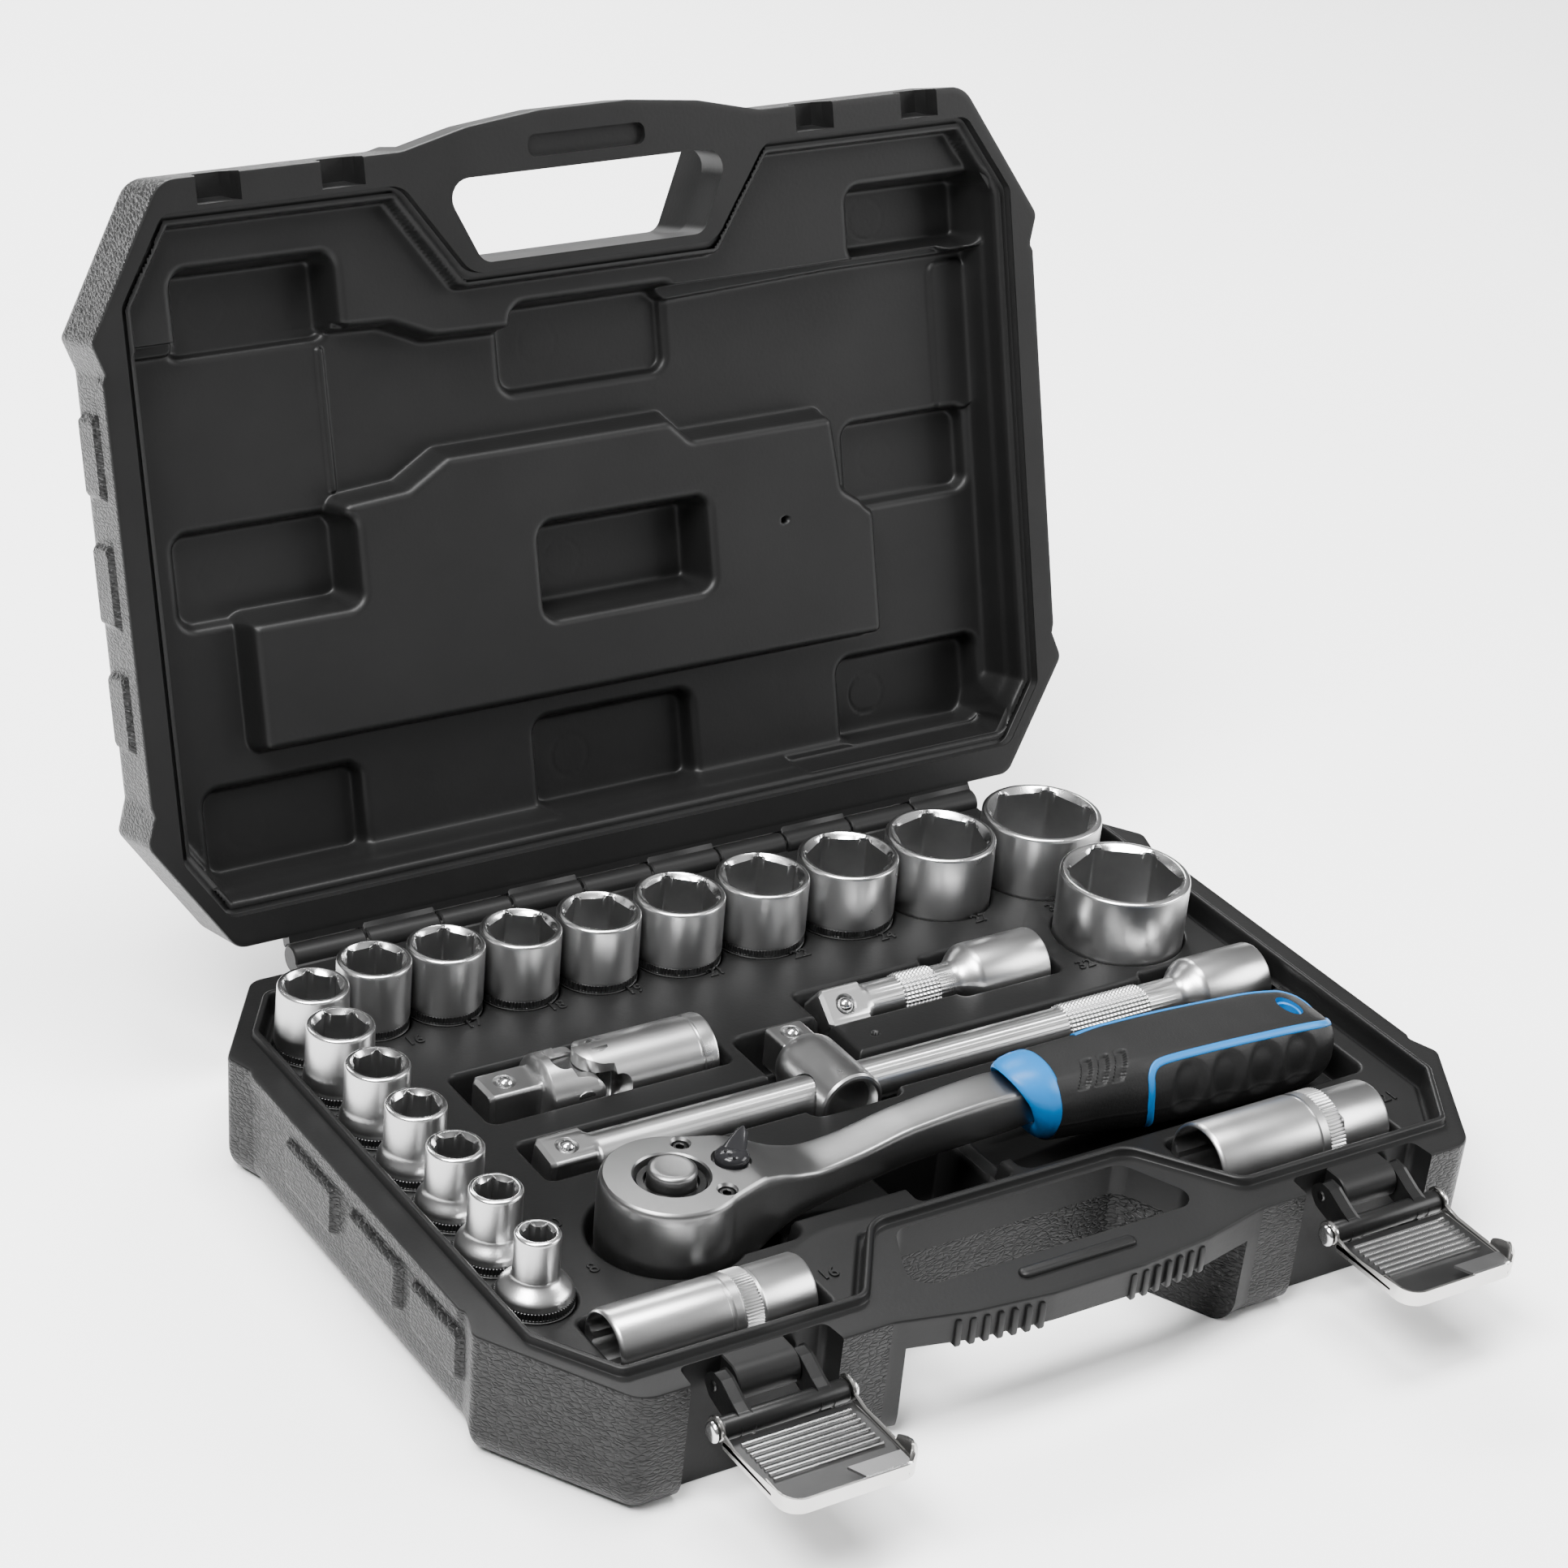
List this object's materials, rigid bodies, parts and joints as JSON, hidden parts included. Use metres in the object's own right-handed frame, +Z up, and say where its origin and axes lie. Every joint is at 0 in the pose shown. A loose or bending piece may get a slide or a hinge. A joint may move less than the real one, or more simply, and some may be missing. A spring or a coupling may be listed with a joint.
{
  "type": "socket wrench set in case",
  "caption": "Half-inch socket wrench set: upright and lying sockets, ratchet, extensions, sliding T-head and universal joint in a hinged plastic case with two latches and a handle.",
  "frame": {"origin": "middle of the case's underside, on the floor", "axes": "+Z up, -Y the front with handle and latches, +X to the right seen from the front"},
  "size_m": [0.33, 0.3725, 0.2701],
  "materials": {
    "case_plastic": "black blow-moulded polyethylene, leather grain outside",
    "latch_plastic": "black moulded links",
    "nickel": "bright nickel-plated steel",
    "satin_chrome": "satin chrome-plated chrome-vanadium steel",
    "steel": "bright steel",
    "dark_steel": "black oxide steel",
    "black_rubber": "soft black thermoplastic rubber",
    "blue_plastic": "blue hard core of the grip"
  },
  "bodies": {
    "case_tray": {"tray_shell": "case_plastic", "hinge_pin": "nickel"},
    "case_lid": {"lid_shell": "case_plastic"},
    "latch_left_link": {"latch_left_link": "latch_plastic", "latch_left_link_pin": "nickel"},
    "latch_left_lever": {"latch_left_lever": "nickel", "latch_left_lever_pin": "nickel"},
    "latch_right_link": {"latch_right_link": "latch_plastic", "latch_right_link_pin": "nickel"},
    "latch_right_lever": {"latch_right_lever": "nickel", "latch_right_lever_pin": "nickel"},
    "socket_08": {"socket_08": "satin_chrome"},
    "socket_10": {"socket_10": "satin_chrome"},
    "socket_11": {"socket_11": "satin_chrome"},
    "socket_12": {"socket_12": "satin_chrome"},
    "socket_13": {"socket_13": "satin_chrome"},
    "socket_14": {"socket_14": "satin_chrome"},
    "socket_15": {"socket_15": "satin_chrome"},
    "socket_16": {"socket_16": "satin_chrome"},
    "socket_17": {"socket_17": "satin_chrome"},
    "socket_18": {"socket_18": "satin_chrome"},
    "socket_19": {"socket_19": "satin_chrome"},
    "socket_21": {"socket_21": "satin_chrome"},
    "socket_22": {"socket_22": "satin_chrome"},
    "socket_24": {"socket_24": "satin_chrome"},
    "socket_27": {"socket_27": "satin_chrome"},
    "socket_30": {"socket_30": "satin_chrome"},
    "socket_32": {"socket_32": "satin_chrome"},
    "plug_socket_16": {"plug_socket_16": "satin_chrome", "plug_socket_16_rubber_ring": "black_rubber"},
    "plug_socket_21": {"plug_socket_21": "satin_chrome", "plug_socket_21_rubber_ring": "black_rubber"},
    "long_extension": {"long_extension": "satin_chrome", "long_extension_ball": "steel"},
    "short_extension": {"short_extension": "satin_chrome", "short_extension_ball": "steel"},
    "universal_joint": {"universal_joint_socket_fork": "satin_chrome", "universal_joint_upright_pin": "steel"},
    "ratchet": {"ratchet_body": "satin_chrome", "ratchet_base_plate": "steel", "ratchet_screw_back": "dark_steel", "ratchet_screw_front": "dark_steel", "ratchet_pawl": "steel", "grip_core": "blue_plastic", "grip_rubber": "black_rubber"},
    "sliding_head": {"sliding_head": "satin_chrome", "sliding_head_ball": "steel"},
    "universal_joint_cross": {"universal_joint_block": "steel"},
    "universal_joint_drive_end": {"universal_joint_drive_fork": "satin_chrome", "universal_joint_ball": "steel", "universal_joint_level_pin": "steel"},
    "ratchet_spindle": {"ratchet_spindle": "steel"},
    "quick_release_button": {"quick_release_button": "satin_chrome"},
    "reversing_lever": {"reversing_lever": "dark_steel"}
  },
  "joints": [
    {"name": "lid_hinge", "type": "hinge", "parent": "case_tray", "child": "case_lid", "pos_m": [0, 0.1199, 0.039], "axis": [1, 0, 0], "range_deg": [0, 106.4]},
    {"name": "latch_left_link_hinge", "type": "hinge", "parent": "case_tray", "child": "latch_left_link", "pos_m": [-0.1015, -0.11, 0.0335], "axis": [-1, 0, 0], "range_deg": [-10, 25]},
    {"name": "latch_left_lever_hinge", "type": "hinge", "parent": "latch_left_link", "child": "latch_left_lever", "pos_m": [-0.1015, -0.1218, 0.0293], "axis": [-1, 0, 0], "range_deg": [-20, 65]},
    {"name": "latch_right_link_hinge", "type": "hinge", "parent": "case_tray", "child": "latch_right_link", "pos_m": [0.1015, -0.11, 0.0335], "axis": [-1, 0, 0], "range_deg": [-10, 25]},
    {"name": "latch_right_lever_hinge", "type": "hinge", "parent": "latch_right_link", "child": "latch_right_lever", "pos_m": [0.1015, -0.1218, 0.0293], "axis": [-1, 0, 0], "range_deg": [-20, 65]},
    {"name": "socket_08_lift_out", "type": "slide", "parent": "case_tray", "child": "socket_08", "axis": [0, 0, -1], "range_m": [-0.065, 0]},
    {"name": "socket_10_lift_out", "type": "slide", "parent": "case_tray", "child": "socket_10", "axis": [0, 0, -1], "range_m": [-0.065, 0]},
    {"name": "socket_11_lift_out", "type": "slide", "parent": "case_tray", "child": "socket_11", "axis": [0, 0, -1], "range_m": [-0.065, 0]},
    {"name": "socket_12_lift_out", "type": "slide", "parent": "case_tray", "child": "socket_12", "axis": [0, 0, -1], "range_m": [-0.065, 0]},
    {"name": "socket_13_lift_out", "type": "slide", "parent": "case_tray", "child": "socket_13", "axis": [0, 0, -1], "range_m": [-0.065, 0]},
    {"name": "socket_14_lift_out", "type": "slide", "parent": "case_tray", "child": "socket_14", "axis": [0, 0, -1], "range_m": [-0.065, 0]},
    {"name": "socket_15_lift_out", "type": "slide", "parent": "case_tray", "child": "socket_15", "axis": [0, 0, -1], "range_m": [-0.065, 0]},
    {"name": "socket_16_lift_out", "type": "slide", "parent": "case_tray", "child": "socket_16", "axis": [0, 0, -1], "range_m": [-0.065, 0]},
    {"name": "socket_17_lift_out", "type": "slide", "parent": "case_tray", "child": "socket_17", "axis": [0, 0, -1], "range_m": [-0.065, 0]},
    {"name": "socket_18_lift_out", "type": "slide", "parent": "case_tray", "child": "socket_18", "axis": [0, 0, -1], "range_m": [-0.065, 0]},
    {"name": "socket_19_lift_out", "type": "slide", "parent": "case_tray", "child": "socket_19", "axis": [0, 0, -1], "range_m": [-0.065, 0]},
    {"name": "socket_21_lift_out", "type": "slide", "parent": "case_tray", "child": "socket_21", "axis": [0, 0, -1], "range_m": [-0.065, 0]},
    {"name": "socket_22_lift_out", "type": "slide", "parent": "case_tray", "child": "socket_22", "axis": [0, 0, -1], "range_m": [-0.065, 0]},
    {"name": "socket_24_lift_out", "type": "slide", "parent": "case_tray", "child": "socket_24", "axis": [0, 0, -1], "range_m": [-0.065, 0]},
    {"name": "socket_27_lift_out", "type": "slide", "parent": "case_tray", "child": "socket_27", "axis": [0, 0, -1], "range_m": [-0.065, 0]},
    {"name": "socket_30_lift_out", "type": "slide", "parent": "case_tray", "child": "socket_30", "axis": [0, 0, -1], "range_m": [-0.065, 0]},
    {"name": "socket_32_lift_out", "type": "slide", "parent": "case_tray", "child": "socket_32", "axis": [0, 0, -1], "range_m": [-0.065, 0]},
    {"name": "plug_socket_16_lift_out", "type": "slide", "parent": "case_tray", "child": "plug_socket_16", "axis": [0, 0, -1], "range_m": [-0.05, 0]},
    {"name": "plug_socket_21_lift_out", "type": "slide", "parent": "case_tray", "child": "plug_socket_21", "axis": [0, 0, -1], "range_m": [-0.05, 0]},
    {"name": "long_extension_lift_out", "type": "slide", "parent": "case_tray", "child": "long_extension", "axis": [0, 0, -1], "range_m": [-0.05, 0]},
    {"name": "short_extension_lift_out", "type": "slide", "parent": "case_tray", "child": "short_extension", "axis": [0, 0, -1], "range_m": [-0.05, 0]},
    {"name": "universal_joint_lift_out", "type": "slide", "parent": "case_tray", "child": "universal_joint", "axis": [0, 0, -1], "range_m": [-0.06, 0]},
    {"name": "ratchet_lift_out", "type": "slide", "parent": "case_tray", "child": "ratchet", "axis": [0, 0, -1], "range_m": [-0.07, 0]},
    {"name": "sliding_head_slide", "type": "slide", "parent": "long_extension", "child": "sliding_head", "axis": [1, 0, 0], "range_m": [-0.004, 0.004]},
    {"name": "universal_joint_yaw", "type": "hinge", "parent": "universal_joint", "child": "universal_joint_cross", "pos_m": [-0.0685, 0.034, 0.032], "axis": [0, 0, 1], "range_deg": [-5, 5]},
    {"name": "universal_joint_pitch", "type": "hinge", "parent": "universal_joint_cross", "child": "universal_joint_drive_end", "pos_m": [-0.077, 0.034, 0.032], "axis": [0, -1, 0], "range_deg": [-40, 0]},
    {"name": "ratchet_spindle_spin", "type": "hinge", "parent": "ratchet", "child": "ratchet_spindle", "pos_m": [-0.0915, -0.046, 0.027], "axis": [0, 0, 1], "continuous": true},
    {"name": "quick_release_press", "type": "slide", "parent": "ratchet_spindle", "child": "quick_release_button", "axis": [0, 0, -1], "range_m": [0, 0.0025], "stiffness_N_per_m": 500, "springref_m": -0.001},
    {"name": "reversing_lever_hinge", "type": "hinge", "parent": "ratchet", "child": "reversing_lever", "pos_m": [-0.0724, -0.046, 0.053], "axis": [0, 0, 1], "range_deg": [-76, 0]}
  ]
}
